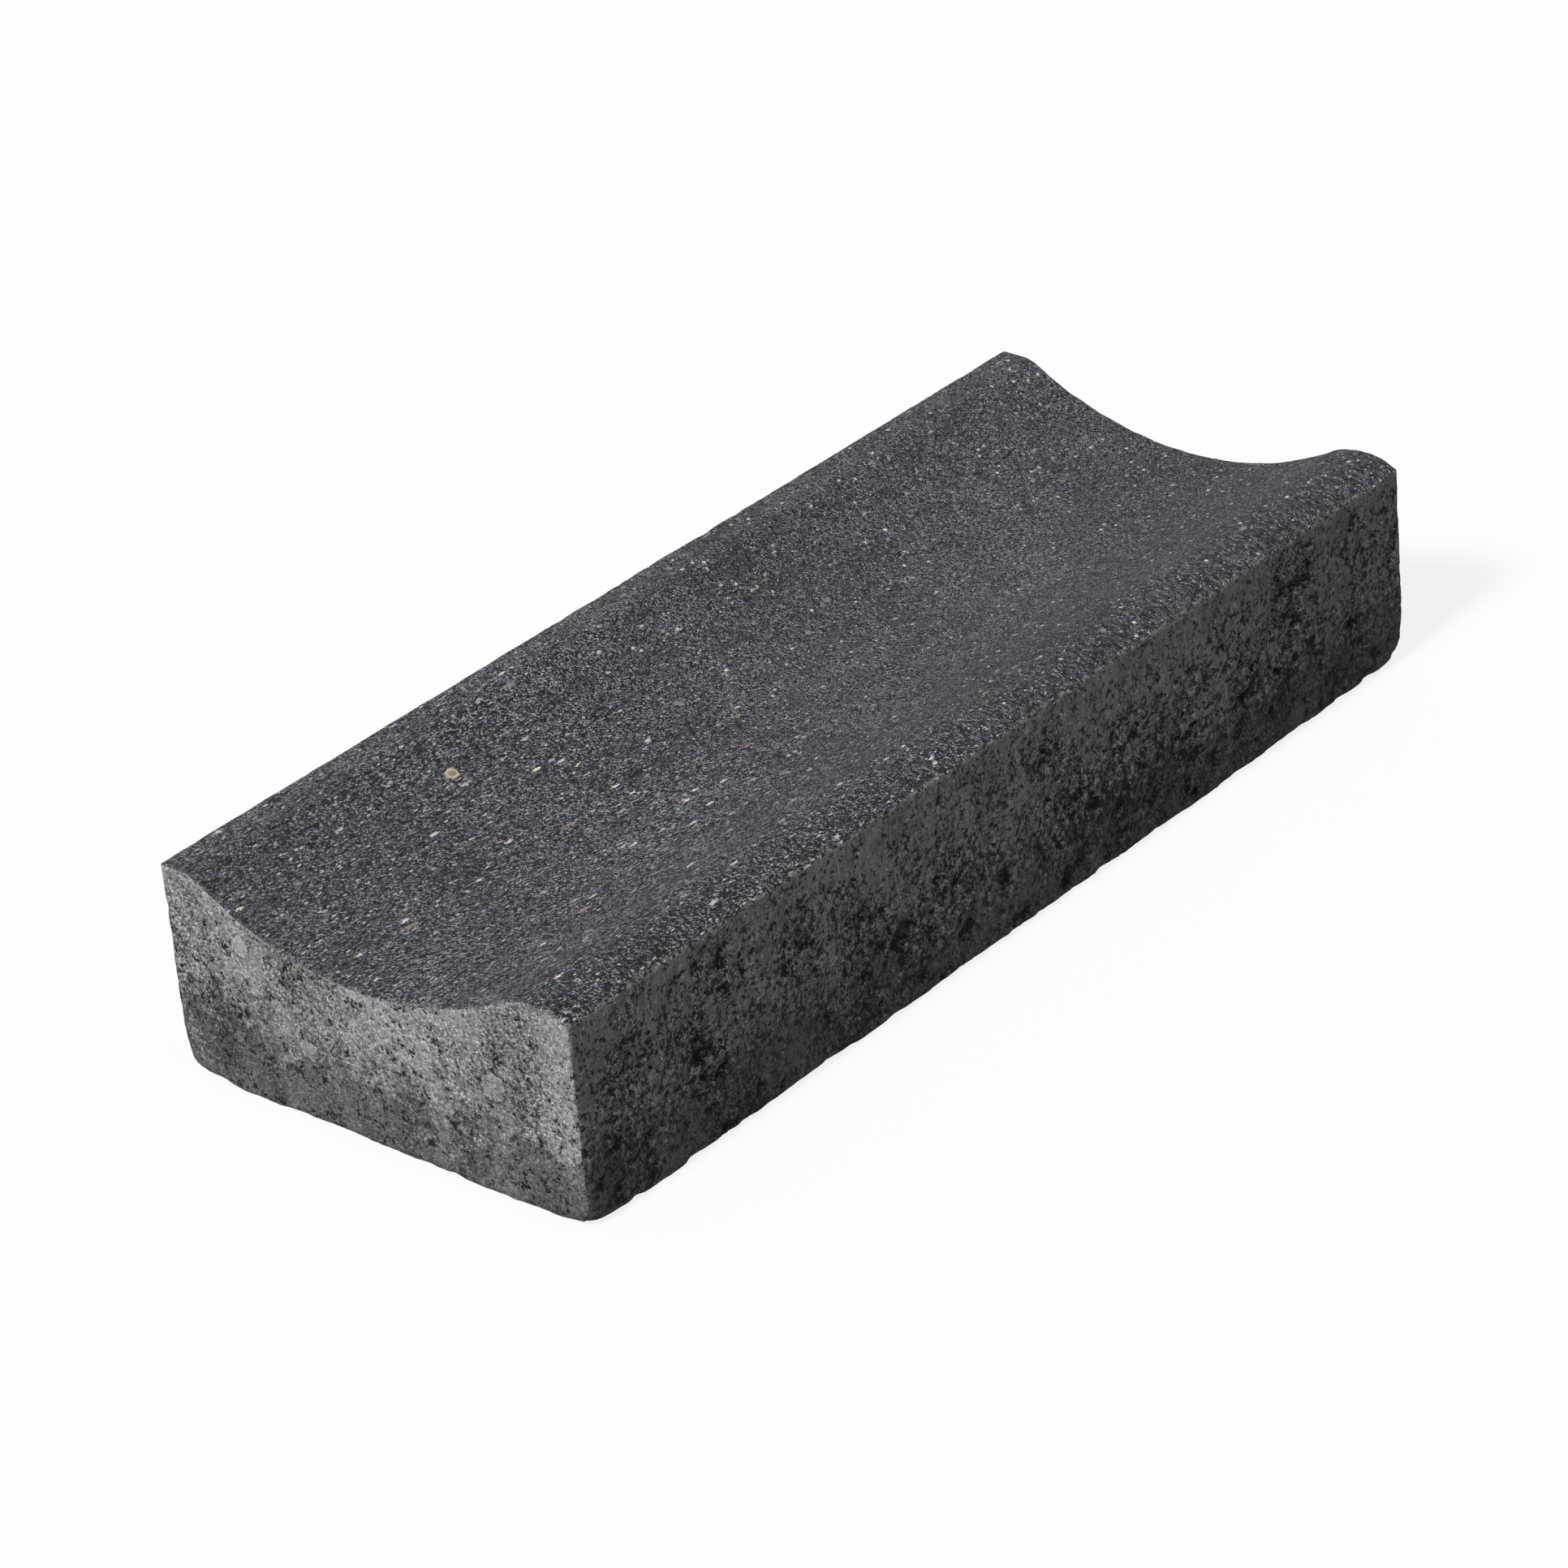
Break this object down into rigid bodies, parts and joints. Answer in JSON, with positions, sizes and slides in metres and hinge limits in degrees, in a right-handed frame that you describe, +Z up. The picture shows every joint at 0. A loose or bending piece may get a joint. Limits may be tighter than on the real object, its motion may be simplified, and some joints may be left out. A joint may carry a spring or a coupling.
{
  "type": "concrete gutter block",
  "caption": "Solid black concrete gutter block with a shallow dished channel along its top, a flat rim on one side and a crowned rim on the other.",
  "frame": {"origin": "middle of the flat base, on the ground", "axes": "+Y along the gutter, +X across the block towards the crowned rim, +Z up from the base"},
  "size_m": [0.2, 0.5, 0.09],
  "materials": {
    "concrete": "rough weathered black concrete, sandy on top and pitted on the sides"
  },
  "bodies": {
    "root": {"gutter_block": "concrete"}
  },
  "joints": []
}
